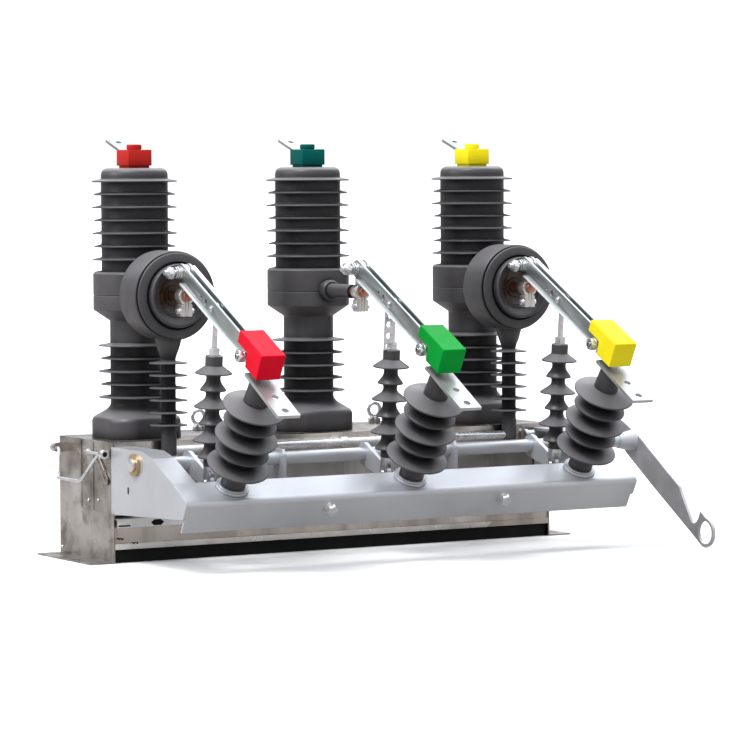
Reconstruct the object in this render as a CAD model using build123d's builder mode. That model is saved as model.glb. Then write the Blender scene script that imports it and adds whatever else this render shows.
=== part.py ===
"""Pole-mounted vacuum circuit breaker with its three-phase disconnector, in millimetres.

X runs along the box from left to right, -Y is the disconnector side, +Z is up.
The origin lies on the ground plane below the middle pole.
"""

from math import cos, radians, sin

from build123d import *
import os

os.makedirs("parts", exist_ok=True)

# Phases
PHASE_SPACING = 380.0
PHASES = {"left": -PHASE_SPACING, "middle": 0.0, "right": PHASE_SPACING}
CT_PHASES = ("left", "right")

# Stainless box on its two end plates
BOX_HALF_LENGTH = 488.0
BOX_HALF_DEPTH = 117.5
BOX_TOP = 229.0
BOX_BOTTOM = 26.0
SHEET = 3.0
FOOT_REACH = 50.0
FOOT_SLOT = (24.0, 11.0)
PANEL = (21.0, -88.0, 95.0, 226.0)
PANEL_SEAM = -30.0
PANEL_DEPTH = 1.2
LEDGE_HOLE = (-401.0, 75.5)
LID_LIP = 14.0
LEDGE_HEIGHT = 84.0
LEDGE_REACH = 14.0
LEDGE_LIP = 17.0
RAIL_HEIGHT = 11.0

# Poles
BASE_SIDE = 150.0
BASE_CORNER = 45.0
BASE_TOP = 265.0
SHOULDER_TOP = 286.0
NECK_RADIUS = 49.0
BLOCK_RADIUS = 80.5
BLOCK_BOTTOM = 475.0
BLOCK_TOP = 547.0
CONE_BOTTOM = 453.0
BODY_RADIUS = 64.0
POLE_TOP = 745.0
TOP_ROUNDING = 12.0
SHED_TIP = 2.6
UPPER_SHEDS = (7, 719.7, 24.9, (81.3, 7.0), (77.5, 7.0))
LOWER_SHEDS = (5, 405.6, 24.8, (71.0, 7.0), (67.0, 7.0))

# Upper terminals and their covers
COVER_SIDE = 51.0
COVER_TOP = 780.0
COVER_CAP_RADIUS = 14.5
COVER_CAP_TOP = 790.0
COVER_ROUNDING = 4.0
BAR_WIDTH = 40.0
BAR_THICKNESS = 5.0
BAR_TILT = 18.5
BAR_LENGTH = 92.0
BAR_FOOT = (-4.0, 766.0)
BAR_HOLE = 11.0

# Current transformers on the outer phases
OUTLET_HEIGHT = 505.0
DRUM_RADIUS = 84.5
DRUM_BACK = -96.0
DRUM_FRONT = -166.0
DRUM_COLLAR = 30.0
FACE_RADIUS = 80.0
FACE_FRONT = -173.0
RIM_RADIUS = 59.5
RIM_BACK = -183.0
RIM_FRONT = -190.0
FUNNEL = (43.0, -181.0)
MOUTH_RADIUS = 36.0
MOUTH_BACK = -175.0
MOUTH_FLOOR = -158.0
CT_LEG_Y = -137.0
CT_LEG_RADIUS = 14.0
CT_LEG_BOTTOM = 202.0
CT_NECK_TOP = (26.0, 432.0)
CT_NECK_BOTTOM = 386.0
CT_SHEDS = (6, 376.7, 23.5, (36.0, 7.0), (36.0, 7.0))

# Outlet studs, clamps and hinges
STUD_RADIUS = 9.5
STUD_END = -224.0
ARM_RADIUS = 13.5
ARM_BOSS_RADIUS = 20.0
ARM_BOSS_FRONT = -96.0
ARM_END = -178.0
CLAMP_RADIUS = 16.0
CLAMP_BACK, CLAMP_FRONT = -196.0, -217.0
CLAMP_LEG_BOTTOM = 464.0
CLAMP_LEG_OUTER = 14.0
CLAMP_SLOT = 4.0
PIVOT = (-209.0, 549.5)
LUG_HALF_THICKNESS = 4.7
LUG_RADIUS = 15.0
RUNNING_GAP = 0.1

# Disconnector blades, drawn in their closed position
BLADE_SLOPE = 27.6
BLADE_BAR_HEIGHT = 34.0
BLADE_BAR_THICKNESS = 5.0
BLADE_GAP = 10.0
BLADE_LENGTH = 345.0
PIVOT_PIN_RADIUS = 5.0
DRIVE_PIN_AT = 138.8
DRIVE_PIN_RADIUS = 4.0
TIP_BOLT_AT = (307.0, -2.0)
TIP_BOLT_RADIUS = 4.0
BLADE_HOLES = ((94.0, 3.4), (114.0, 6.0))
STACK_LENGTH = 34.0
BLADE_COVER = (278.0, 373.0, -16.0, 35.0)
BLADE_COVER_WIDTH = 50.0
BLADE_COVER_NOTCH = (319.0, 11.0)
BLADE_COVER_WALL = 3.0
BLADE_COVER_ROUNDING = 2.5

# Post insulators on the tilted beam
POST_TILT = 30.0
POST_FOOT = (-391.0, 159.0)
POST_NECK_RADIUS = 23.0
POST_TOP_RADIUS = 20.0
POST_HEIGHT = 229.0
POST_SHEDS = (5, 174.4, 31.5, (58.0, 9.0), (50.0, 9.0))
POST_RING = (31.0, 7.0)
TERMINAL_THICKNESS = 6.0
TERMINAL_WIDTH = 46.0
TERMINAL_BACK, TERMINAL_FRONT = -25.0, 118.0
TERMINAL_HOLES = (57.0, 101.0)
TERMINAL_HOLE = 13.0
CONTACT_FROM, CONTACT_TO = 316.0, 342.0
CONTACT_TOP = 8.0

# Frame of the disconnector: two side arms and a folded beam
ARM_OUTER = 492.0
PLATE = 5.0
FLANGE_WIDTH = 47.0
BEAM_FRONT = (-428.0, 137.0)
BEAM_REAR = (-371.0, 170.0)
BEAM_FACE = 65.0
BEAM_FOLD = 9.0
ARM_TOP = ((-121.5, 221.0), (-244.0, 221.0), (-288.0, 210.0))
ARM_LOWER = ((-410.5, 106.0), (-121.5, 94.0))
MOUNTING_FLANGE = 40.0

# Shaft, cranks and lever
SHAFT = (-220.0, 194.0)
SHAFT_RADIUS = 12.5
SHAFT_LEFT = -501.0
CRANK_PIN = (-303.0, 163.0)
CRANK_THICKNESS = 8.0
CRANK_HUB_RADIUS = 22.0
CRANK_END_RADIUS = 12.0
BUSH_RADIUS = 21.0
BUSH_NECK = 16.5
BUSH_FACE = 6.0
BRACKET_AT = PHASE_SPACING / 2
BRACKET_THICKNESS = 6.0
COLLAR = (584.0, 620.0, 14.0, 22.0)
LEVER_AT = 620.0
LEVER_THICKNESS = 6.0
LEVER_SLOPE = 30.3
LEVER_EYE = (300.0, -16.0)
LEVER_EYE_RADIUS = 28.0
LEVER_EYE_HOLE = 22.5

# Drive insulators between cranks and blades
DRIVE_PIN_OF_CRANK = 5.0
DRIVE_BODY_RADIUS = 13.4
DRIVE_CAP = (16.3, 211.0)
DRIVE_BOTTOM, DRIVE_TOP = 30.0, 237.0
DRIVE_SHEDS = (6, 204.0, 31.5, (34.5, 13.0), (24.4, 10.0))
DRIVE_NUT = (11.0, 14.0)
DRIVE_LEAN = (-332.0 - CRANK_PIN[0], 485.2 - CRANK_PIN[1])
LINK_THICKNESS = 5.0
LINK_WIDTH = 12.0
LINK_EYE_RADIUS = 12.0
LINK_EYE_HOLE = 7.5
STRIP_LEFT = -20.5
STRIP_THICKNESS = 3.0
STRIP_HOLES = (DRIVE_TOP + 7.0, DRIVE_TOP + 27.0, DRIVE_TOP + 48.5)

# Wiring conduit, round socket, lifting eyes and carrying bail
CONDUIT_RADIUS = 8.0
CONDUIT_HEIGHT = 211.0
SOCKET_AT = (-129.0, 208.0)
SOCKET_RADIUS = 11.0
SOCKET_LEFT, SOCKET_RIGHT = 420.0, 444.0
EYE_AT = (200.0, 88.0)
EYE_RADIUS, EYE_HOLE = 17.0, 9.5
BAIL_PIVOT = (-505.0, 208.0)
BAIL_WIRE = 3.2


def save(part, name):
    """Names a finished piece and writes it."""
    part.label = name
    export_step(part, f"parts/{name}.step")


def upright(x, y=0.0, z=0.0):
    """Sketch plane facing the front, with its own x along X and its own y up."""
    return Plane(origin=(x, y, z), x_dir=(1, 0, 0), z_dir=(0, -1, 0))


def across(x):
    """Sketch plane whose own x is Y and whose own y is Z, at a place along the box."""
    return Plane.YZ.offset(x)


def blade_plane(x):
    """Plane of a closed blade: its own x runs down the blade, its own y is up."""
    slope = radians(BLADE_SLOPE)
    return Plane(origin=(x, *PIVOT), x_dir=(0, -cos(slope), -sin(slope)), z_dir=(-1, 0, 0))


def shed_profile(body, sheds):
    """Outline points of a shedded column from the top shed down, radius and height."""
    count, top, pitch, big, small = sheds
    points = []
    for i in range(count):
        height = top - i * pitch
        radius, root = small if i % 2 else big
        points += [
            (body, height + root),
            (radius, height + SHED_TIP / 2),
            (radius, height - SHED_TIP / 2),
            (body, height - SHED_TIP),
        ]
    return points


# Box body with the ledge and the bottom rail along its front and back
with BuildPart() as box_body:
    with BuildSketch(Plane.XY.offset(BOX_BOTTOM)):
        Rectangle(2 * (BOX_HALF_LENGTH - SHEET), 2 * (BOX_HALF_DEPTH - SHEET))
    extrude(amount=BOX_TOP - SHEET - BOX_BOTTOM)
    for side in (1, -1):
        face = side * (BOX_HALF_DEPTH - SHEET)
        with BuildSketch(Plane.YZ.offset(-BOX_HALF_LENGTH + SHEET)):
            with Locations((face + side * SHEET / 2, BOX_BOTTOM + RAIL_HEIGHT / 2)):
                Rectangle(SHEET, RAIL_HEIGHT)
            if side < 0:
                with Locations((face - LEDGE_REACH / 2, LEDGE_HEIGHT)):
                    Rectangle(LEDGE_REACH, SHEET)
                with Locations((face - LEDGE_REACH + SHEET / 2, LEDGE_HEIGHT - LEDGE_LIP / 2)):
                    Rectangle(SHEET, LEDGE_LIP)
        extrude(amount=2 * (BOX_HALF_LENGTH - SHEET))
    with BuildSketch(upright(0, -BOX_HALF_DEPTH - LEDGE_REACH)):
        with Locations(LEDGE_HOLE):
            Polygon((-14, 0), (-7, 5.5), (7, 5.5), (14, 0), (7, -5.5), (-7, -5.5))
    extrude(amount=-2 * LEDGE_REACH + SHEET, mode=Mode.SUBTRACT)
save(box_body.part, "box_body")

# Lid with a lip folded down over the front and back
with BuildPart() as lid:
    with BuildSketch(Plane.YZ.offset(-BOX_HALF_LENGTH + SHEET)):
        with Locations((0, BOX_TOP - SHEET / 2)):
            Rectangle(2 * BOX_HALF_DEPTH, SHEET)
        for side in (1, -1):
            with Locations((side * (BOX_HALF_DEPTH - SHEET / 2), BOX_TOP - LID_LIP / 2)):
                Rectangle(SHEET, LID_LIP)
    extrude(amount=2 * (BOX_HALF_LENGTH - SHEET))
save(lid.part, "box_lid")

# End plates with their feet folded outwards
for name, side in (("left", -1), ("right", 1)):
    with BuildPart() as end_plate:
        with BuildSketch(Plane.XZ.offset(-BOX_HALF_DEPTH)):
            with Locations((side * (BOX_HALF_LENGTH - SHEET / 2), BOX_TOP / 2)):
                Rectangle(SHEET, BOX_TOP)
            with Locations((side * (BOX_HALF_LENGTH + FOOT_REACH / 2), SHEET / 2)):
                Rectangle(FOOT_REACH, SHEET)
        extrude(amount=2 * BOX_HALF_DEPTH)
        with BuildSketch(Plane.XY):
            with Locations(*((side * (BOX_HALF_LENGTH + 28), y) for y in (-85, 85))):
                SlotOverall(*FOOT_SLOT)
        extrude(amount=SHEET, mode=Mode.SUBTRACT)
        if name == "left":
            panel_back, panel_front, panel_low, panel_high = PANEL
            for back, front in ((panel_back, PANEL_SEAM + 1), (PANEL_SEAM - 1, panel_front)):
                with BuildSketch(across(-BOX_HALF_LENGTH)):
                    with Locations(((back + front) / 2, (panel_low + panel_high) / 2)):
                        Rectangle(back - front, panel_high - panel_low)
                extrude(amount=PANEL_DEPTH, mode=Mode.SUBTRACT)
    save(end_plate.part, f"end_plate_{name}")

# Poles: rounded square base, shedded neck, cast block and shedded body
for name, x in PHASES.items():
    with BuildPart() as pole:
        with BuildSketch(Plane(origin=(x, 0, BOX_TOP))):
            RectangleRounded(BASE_SIDE, BASE_SIDE, BASE_CORNER)
        extrude(amount=BASE_TOP - BOX_TOP)
        with BuildSketch(Plane(origin=(x, 0, BASE_TOP))):
            RectangleRounded(BASE_SIDE, BASE_SIDE, BASE_CORNER)
        with BuildSketch(Plane(origin=(x, 0, SHOULDER_TOP))):
            Circle(NECK_RADIUS + 3)
        loft()
        with BuildSketch(upright(x)):
            with BuildLine():
                Polyline(
                    (0, SHOULDER_TOP),
                    (0, POLE_TOP),
                    (BODY_RADIUS - TOP_ROUNDING, POLE_TOP),
                    (BODY_RADIUS - 3, POLE_TOP - 4),
                    (BODY_RADIUS, POLE_TOP - TOP_ROUNDING),
                    *shed_profile(BODY_RADIUS, UPPER_SHEDS),
                    (BODY_RADIUS, BLOCK_TOP + 4),
                    (BLOCK_RADIUS - 4, BLOCK_TOP + 1),
                    (BLOCK_RADIUS, BLOCK_TOP - 4),
                    (BLOCK_RADIUS, BLOCK_BOTTOM),
                    (NECK_RADIUS, CONE_BOTTOM),
                    *shed_profile(NECK_RADIUS, LOWER_SHEDS),
                    (NECK_RADIUS, SHOULDER_TOP),
                    close=True,
                )
            make_face()
        revolve(axis=Axis((x, 0, 0), (0, 0, 1)))
    save(pole.part, f"pole_{name}")

# Upper terminal bars, tilted up towards the back
bar_slope = radians(BAR_TILT)
with BuildPart() as upper_terminals:
    for x in PHASES.values():
        bar_plane = Plane(
            origin=(x, *BAR_FOOT),
            x_dir=(1, 0, 0),
            z_dir=(0, -sin(bar_slope), cos(bar_slope)),
        )
        with BuildSketch(bar_plane):
            with Locations((0, BAR_LENGTH / 2)):
                Rectangle(BAR_WIDTH, BAR_LENGTH)
            with Locations((0, BAR_LENGTH - 16)):
                Circle(BAR_HOLE / 2, mode=Mode.SUBTRACT)
        extrude(amount=BAR_THICKNESS)
save(upper_terminals.part, "upper_terminals")

# Coloured covers on the upper terminals, open underneath round the bar
for name, x in PHASES.items():
    with BuildPart() as terminal_cover:
        with BuildSketch(Plane(origin=(x, 0, POLE_TOP))):
            RectangleRounded(COVER_SIDE, COVER_SIDE, 6)
        extrude(amount=COVER_TOP - POLE_TOP)
        fillet(terminal_cover.faces().sort_by(Axis.Z)[-1].edges(), COVER_ROUNDING)
        with BuildSketch(Plane(origin=(x, 0, COVER_TOP))):
            Circle(COVER_CAP_RADIUS)
        extrude(amount=COVER_CAP_TOP - COVER_TOP)
        fillet(terminal_cover.faces().sort_by(Axis.Z)[-1].edges(), COVER_ROUNDING / 2)
        add(upper_terminals.part, mode=Mode.SUBTRACT)
    save(terminal_cover.part, f"terminal_cover_{name}")

# Current transformers: drum, hollow front rim, tapered neck and shedded leg
for name in CT_PHASES:
    x = PHASES[name]
    outlet = Axis((x, 0, OUTLET_HEIGHT), (0, -1, 0))
    with BuildPart() as transformer:
        with BuildSketch(Plane(origin=(x, 0, OUTLET_HEIGHT), x_dir=(1, 0, 0), z_dir=(0, 0, 1))):
            with BuildLine():
                Polyline(
                    (0, -50),
                    (DRUM_COLLAR, -50),
                    (DRUM_COLLAR, DRUM_BACK),
                    (DRUM_RADIUS - 6, DRUM_BACK),
                    (DRUM_RADIUS, DRUM_BACK - 6),
                    (DRUM_RADIUS, DRUM_FRONT + 3),
                    (DRUM_RADIUS - 3, DRUM_FRONT),
                    (FACE_RADIUS, DRUM_FRONT),
                    (FACE_RADIUS, FACE_FRONT + 3),
                    (FACE_RADIUS - 3, FACE_FRONT),
                    (RIM_RADIUS + 2, RIM_BACK),
                    (RIM_RADIUS, RIM_BACK),
                    (RIM_RADIUS, RIM_FRONT + 2),
                    (RIM_RADIUS - 2, RIM_FRONT),
                    (RIM_RADIUS - 5, RIM_FRONT),
                    FUNNEL,
                    (FUNNEL[0], MOUTH_BACK),
                    (MOUTH_RADIUS, MOUTH_BACK),
                    (MOUTH_RADIUS - 6, MOUTH_FLOOR),
                    (0, MOUTH_FLOOR),
                    close=True,
                )
            make_face()
        revolve(axis=outlet)
        with Locations((x, 0, OUTLET_HEIGHT)):
            Cylinder(BLOCK_RADIUS, 200, mode=Mode.SUBTRACT)
        with BuildSketch(upright(x, CT_LEG_Y)):
            with BuildLine():
                Polyline(
                    (0, OUTLET_HEIGHT - DRUM_RADIUS + 20),
                    (CT_NECK_TOP[0], CT_NECK_TOP[1]),
                    (CT_LEG_RADIUS, CT_NECK_BOTTOM),
                    *shed_profile(CT_LEG_RADIUS, CT_SHEDS),
                    (CT_LEG_RADIUS, CT_LEG_BOTTOM),
                    (0, CT_LEG_BOTTOM),
                    close=True,
                )
            make_face()
        revolve(axis=Axis((x, CT_LEG_Y, 0), (0, 0, 1)))
    save(transformer.part, f"current_transformer_{name}")

# Insulated outlet arm of the middle pole
with BuildPart() as outlet_arm:
    with BuildSketch(Plane(origin=(0, 0, OUTLET_HEIGHT), x_dir=(1, 0, 0), z_dir=(0, 0, 1))):
        with BuildLine():
            Polyline(
                (0, -50),
                (ARM_BOSS_RADIUS, -50),
                (ARM_BOSS_RADIUS, ARM_BOSS_FRONT + 3),
                (ARM_BOSS_RADIUS - 3, ARM_BOSS_FRONT),
                (ARM_RADIUS, ARM_BOSS_FRONT),
                (ARM_RADIUS, ARM_END),
                (0, ARM_END),
                close=True,
            )
        make_face()
    revolve(axis=Axis((0, 0, OUTLET_HEIGHT), (0, -1, 0)))
    with Locations((0, 0, OUTLET_HEIGHT)):
        Cylinder(BLOCK_RADIUS, 200, mode=Mode.SUBTRACT)
save(outlet_arm.part, "outlet_arm_middle")

# Copper studs of the three outlets
with BuildPart() as studs:
    for name, x in PHASES.items():
        start = MOUTH_FLOOR if name in CT_PHASES else ARM_END
        with BuildSketch(Plane(origin=(x, start, OUTLET_HEIGHT), x_dir=(1, 0, 0), z_dir=(0, -1, 0))):
            Circle(STUD_RADIUS)
        extrude(amount=start - STUD_END)
save(studs.part, "outlet_studs")

# Split clamp on each stud, with its two legs and the hinge lug above it
for name, x in PHASES.items():
    with BuildPart() as clamp:
        clamp_plane = Plane(origin=(x, CLAMP_BACK, 0), x_dir=(1, 0, 0), z_dir=(0, -1, 0))
        with BuildSketch(clamp_plane):
            with Locations((0, OUTLET_HEIGHT)):
                Circle(CLAMP_RADIUS)
            leg_height = OUTLET_HEIGHT - CLAMP_LEG_BOTTOM
            with Locations((0, OUTLET_HEIGHT - leg_height / 2)):
                Rectangle(2 * CLAMP_LEG_OUTER, leg_height)
            with Locations((0, OUTLET_HEIGHT)):
                Circle(STUD_RADIUS, mode=Mode.SUBTRACT)
            with Locations((0, OUTLET_HEIGHT - leg_height / 2 - 2)):
                Rectangle(CLAMP_SLOT, leg_height + 4, mode=Mode.SUBTRACT)
        extrude(amount=CLAMP_BACK - CLAMP_FRONT)
        with BuildSketch(across(x)):
            with Locations((PIVOT[0], (PIVOT[1] + OUTLET_HEIGHT + 12) / 2)):
                Rectangle(2 * LUG_RADIUS, PIVOT[1] - OUTLET_HEIGHT - 12)
            with Locations(PIVOT):
                Circle(LUG_RADIUS)
                Circle(PIVOT_PIN_RADIUS + RUNNING_GAP, mode=Mode.SUBTRACT)
        extrude(amount=LUG_HALF_THICKNESS, both=True)
        with BuildSketch(across(x - CLAMP_LEG_OUTER - 7)):
            with Locations(((CLAMP_BACK + CLAMP_FRONT) / 2, CLAMP_LEG_BOTTOM + 10)):
                RegularPolygon(7, 6)
        extrude(amount=7)
        with BuildSketch(across(x + CLAMP_LEG_OUTER)):
            with Locations(((CLAMP_BACK + CLAMP_FRONT) / 2, CLAMP_LEG_BOTTOM + 10)):
                RegularPolygon(7, 6)
        extrude(amount=7)
    save(clamp.part, f"outlet_clamp_{name}")

# Blades: two bars on the pivot bolt, the drive pin and the tip bolt
bar_inner = BLADE_GAP / 2
bar_outer = bar_inner + BLADE_BAR_THICKNESS
stack_end = bar_outer + STACK_LENGTH
for name, x in PHASES.items():
    with BuildPart() as blade:
        for inner in (bar_inner, -bar_outer):
            with BuildSketch(blade_plane(x).offset(inner)):
                with Locations((BLADE_LENGTH / 2, 0)):
                    Rectangle(BLADE_LENGTH, BLADE_BAR_HEIGHT)
                Circle(BLADE_BAR_HEIGHT / 2)
                for at, radius in BLADE_HOLES:
                    with Locations((at, 0)):
                        Circle(radius, mode=Mode.SUBTRACT)
            extrude(amount=BLADE_BAR_THICKNESS)
        with BuildSketch(blade_plane(x).offset(-bar_outer - 9)):
            Circle(PIVOT_PIN_RADIUS)
        extrude(amount=bar_outer + 9 + stack_end + 6)
        with BuildSketch(blade_plane(x).offset(-bar_outer)):
            with Locations((DRIVE_PIN_AT, 0)):
                Circle(DRIVE_PIN_RADIUS)
        extrude(amount=2 * bar_outer + 4)
        with BuildSketch(blade_plane(x).offset(-bar_outer)):
            with Locations(TIP_BOLT_AT):
                Circle(TIP_BOLT_RADIUS)
        extrude(amount=bar_outer + stack_end)
        for start, radius, length in ((0, 11, 3), (3, 8, 14), (17, 11, 3)):
            with BuildSketch(blade_plane(x).offset(bar_outer + start)):
                Circle(radius)
            extrude(amount=length)
        with BuildSketch(blade_plane(x).offset(bar_outer + 20)):
            RegularPolygon(10, 6)
        extrude(amount=10)
        with BuildSketch(blade_plane(x).offset(-bar_outer - 7)):
            RegularPolygon(10, 6)
        extrude(amount=7)
        for start, radius, length in ((0, 11, 3), (3, 8, 10), (13, 12, 3)):
            with BuildSketch(blade_plane(x).offset(bar_outer + start)):
                with Locations(TIP_BOLT_AT):
                    Circle(radius)
            extrude(amount=length)
        with BuildSketch(blade_plane(x).offset(bar_outer + 16)):
            with Locations(TIP_BOLT_AT):
                RegularPolygon(11, 6)
        extrude(amount=10)
    save(blade.part, f"blade_{name}")

# Coloured covers over the blade tips, open below and behind
cover_back, cover_front, cover_low, cover_high = BLADE_COVER
notch_at, notch_low = BLADE_COVER_NOTCH
wall = BLADE_COVER_WALL
for name, x in PHASES.items():
    with BuildPart() as blade_cover:
        with BuildSketch(blade_plane(x)):
            with BuildLine():
                Polyline(
                    (cover_back, cover_high),
                    (cover_front, cover_high),
                    (cover_front, cover_low),
                    (notch_at + 5, cover_low),
                    (notch_at, notch_low),
                    (cover_back, notch_low),
                    close=True,
                )
            make_face()
        extrude(amount=BLADE_COVER_WIDTH / 2, both=True)
        fillet(blade_cover.edges(), BLADE_COVER_ROUNDING)
        with BuildSketch(blade_plane(x)):
            with Locations(((cover_back - 1 + cover_front - wall) / 2, (cover_low + cover_high) / 2 - wall)):
                Rectangle(cover_front - wall - cover_back + 1, cover_high - cover_low)
        extrude(amount=BLADE_COVER_WIDTH / 2 - wall, both=True, mode=Mode.SUBTRACT)
        with BuildSketch(blade_plane(x)):
            rib_low = BLADE_BAR_HEIGHT / 2
            with Locations(((notch_at + BLADE_LENGTH) / 2, (rib_low + cover_high - wall) / 2)):
                Rectangle(BLADE_LENGTH - notch_at, cover_high - wall - rib_low)
        extrude(amount=BLADE_COVER_WIDTH / 2 - wall, both=True)
    save(blade_cover.part, f"blade_cover_{name}")

# Post insulators and their metal foot rings
post = radians(POST_TILT)
post_axis = (0, -sin(post), cos(post))
post_normal = (0, -cos(post), -sin(post))
for name, x in PHASES.items():
    with BuildPart() as post_insulator:
        with BuildSketch(Plane(origin=(x, *POST_FOOT), x_dir=(1, 0, 0), z_dir=post_normal)):
            with BuildLine():
                Polyline(
                    (0, 0),
                    (0, POST_HEIGHT),
                    (POST_TOP_RADIUS, POST_HEIGHT),
                    *shed_profile(POST_NECK_RADIUS, POST_SHEDS),
                    (POST_NECK_RADIUS, POST_RING[1]),
                    (POST_RING[0], POST_RING[1]),
                    (POST_RING[0], 0),
                    close=True,
                )
            make_face()
        revolve(axis=Axis((x, *POST_FOOT), post_axis))
    save(post_insulator.part, f"post_insulator_{name}")

# Lower terminals: tilted plate with two holes and the fixed contact tongue
for name, x in PHASES.items():
    foot = Vector(x, *POST_FOOT) + Vector(*post_axis) * POST_HEIGHT
    with BuildPart() as lower_terminal:
        with BuildSketch(Plane(origin=foot, x_dir=(1, 0, 0), z_dir=post_axis)):
            with Locations((0, -(TERMINAL_BACK + TERMINAL_FRONT) / 2)):
                Rectangle(TERMINAL_WIDTH, TERMINAL_FRONT - TERMINAL_BACK)
            with Locations(*((0, -at) for at in TERMINAL_HOLES)):
                Circle(TERMINAL_HOLE / 2, mode=Mode.SUBTRACT)
        extrude(amount=TERMINAL_THICKNESS)
        with BuildSketch(blade_plane(x)):
            with BuildLine():
                Polyline(
                    (CONTACT_FROM, CONTACT_TOP),
                    (CONTACT_TO, CONTACT_TOP),
                    (CONTACT_TO, -29),
                    (CONTACT_FROM - 24, -29),
                    (CONTACT_FROM - 20, -22),
                    (CONTACT_FROM, -16),
                    close=True,
                )
            make_face()
        extrude(amount=LUG_HALF_THICKNESS, both=True)
    save(lower_terminal.part, f"lower_terminal_{name}")

# Folded beam with its top face square to the post insulators
down_face = Vector(BEAM_FRONT[0] + BEAM_FACE * sin(post), BEAM_FRONT[1] - BEAM_FACE * cos(post))
beam_half = ARM_OUTER - PLATE
with BuildPart() as beam:
    with BuildSketch(across(-beam_half)):
        with BuildLine():
            FilletPolyline(BEAM_REAR, BEAM_FRONT, (down_face.X, down_face.Y), radius=BEAM_FOLD)
            offset(amount=PLATE, side=Side.LEFT, closed=True)
        make_face()
    extrude(amount=2 * beam_half)
save(beam.part, "frame_beam")

# Side arms: side plate, top flange and the flange bolted to the box
for name, side in (("left", -1), ("right", 1)):
    outer_face = side * ARM_OUTER
    with BuildPart() as arm:
        with BuildSketch(across(outer_face)):
            with BuildLine():
                FilletPolyline(
                    *ARM_TOP,
                    BEAM_REAR,
                    BEAM_FRONT,
                    *ARM_LOWER,
                    radius=BEAM_FOLD,
                    close=True,
                )
            make_face()
            with Locations(SHAFT):
                Circle(BUSH_NECK, mode=Mode.SUBTRACT)
        extrude(amount=-side * PLATE)
        with BuildSketch(across(outer_face)):
            with BuildLine():
                Polyline(
                    *ARM_TOP,
                    BEAM_REAR,
                    (BEAM_REAR[0] + PLATE / 2, BEAM_REAR[1] - PLATE),
                    *((y, z - PLATE) for y, z in reversed(ARM_TOP)),
                    close=True,
                )
            make_face()
        extrude(amount=-side * FLANGE_WIDTH)
        with BuildSketch(across(outer_face)):
            with Locations((ARM_TOP[0][0] + 2, (ARM_TOP[0][1] + ARM_LOWER[1][1]) / 2)):
                Rectangle(4, ARM_TOP[0][1] - ARM_LOWER[1][1])
        extrude(amount=-side * MOUNTING_FLANGE)
        add(beam.part, mode=Mode.SUBTRACT)
    save(arm.part, f"frame_arm_{name}")

# Brass bushes of the shaft in the side arms
with BuildPart() as bushes:
    for side in (-1, 1):
        with BuildSketch(across(side * ARM_OUTER)):
            with Locations(SHAFT):
                Circle(BUSH_RADIUS)
                Circle(SHAFT_RADIUS + RUNNING_GAP, mode=Mode.SUBTRACT)
        extrude(amount=side * BUSH_FACE)
        with BuildSketch(across(side * ARM_OUTER)):
            with Locations(SHAFT):
                Circle(BUSH_NECK)
                Circle(SHAFT_RADIUS + RUNNING_GAP, mode=Mode.SUBTRACT)
        extrude(amount=-side * PLATE)
save(bushes.part, "shaft_bushes")

# Bearing brackets between the phases, fixed to the front of the box
with BuildPart() as brackets:
    for side in (-1, 1):
        with BuildSketch(across(side * BRACKET_AT)):
            with BuildLine():
                Polyline(
                    (-BOX_HALF_DEPTH + SHEET, 148),
                    (-BOX_HALF_DEPTH + SHEET, 194),
                    (-150, 194),
                    (SHAFT[0] + 20, SHAFT[1] + 18),
                    (SHAFT[0] - 20, SHAFT[1] + 18),
                    (SHAFT[0] - 27, SHAFT[1] + 8),
                    (SHAFT[0] - 27, 148),
                    close=True,
                )
            make_face()
            with Locations(SHAFT):
                Circle(SHAFT_RADIUS + RUNNING_GAP, mode=Mode.SUBTRACT)
        extrude(amount=BRACKET_THICKNESS / 2, both=True)
save(brackets.part, "shaft_brackets")

# Shaft with the cone collar that carries the lever
with BuildPart() as shaft:
    with BuildSketch(across(SHAFT_LEFT)):
        with Locations(SHAFT):
            Circle(SHAFT_RADIUS)
    extrude(amount=LEVER_AT - SHAFT_LEFT)
    start, end, small, large = COLLAR
    with BuildSketch(across(start)):
        with Locations(SHAFT):
            Circle(small)
    with BuildSketch(across(end)):
        with Locations(SHAFT):
            Circle(large)
    loft()
save(shaft.part, "shaft_tube")

# Cranks on the shaft, one below each blade
with BuildPart() as cranks:
    for x in PHASES.values():
        with BuildSketch(across(x)):
            with Locations(SHAFT):
                Circle(CRANK_HUB_RADIUS)
            with Locations(CRANK_PIN):
                Circle(CRANK_END_RADIUS)
            make_hull()
            with Locations(SHAFT):
                Circle(SHAFT_RADIUS, mode=Mode.SUBTRACT)
            with Locations(CRANK_PIN):
                Circle(DRIVE_PIN_OF_CRANK + RUNNING_GAP, mode=Mode.SUBTRACT)
        extrude(amount=CRANK_THICKNESS / 2, both=True)
save(cranks.part, "shaft_cranks")

# Operating lever with its hook and eye
lever = radians(LEVER_SLOPE)
lever_plane = Plane(
    origin=(LEVER_AT, *SHAFT),
    x_dir=(0, -cos(lever), -sin(lever)),
    z_dir=(-1, 0, 0),
)
with BuildPart() as operating_lever:
    with BuildSketch(lever_plane):
        with BuildLine():
            Polyline(
                (-58, 13),
                (-15, 17),
                (15, 19),
                (182, 12),
                (194, 5),
                (224, -10.5),
                (248, -22),
                (254, -24),
                (260, -22.5),
                (266, -14),
                (268, -4),
                (266, 11),
                (286, 10),
                (300, 10),
                (300, -44),
                (243, -42),
                (110, -38.6),
                (-5, -33.5),
                (-58, -24),
                close=True,
            )
        make_face()
        with Locations(LEVER_EYE):
            Circle(LEVER_EYE_RADIUS)
            Circle(LEVER_EYE_HOLE, mode=Mode.SUBTRACT)
    extrude(amount=-LEVER_THICKNESS)
save(operating_lever.part, "operating_lever")

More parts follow.
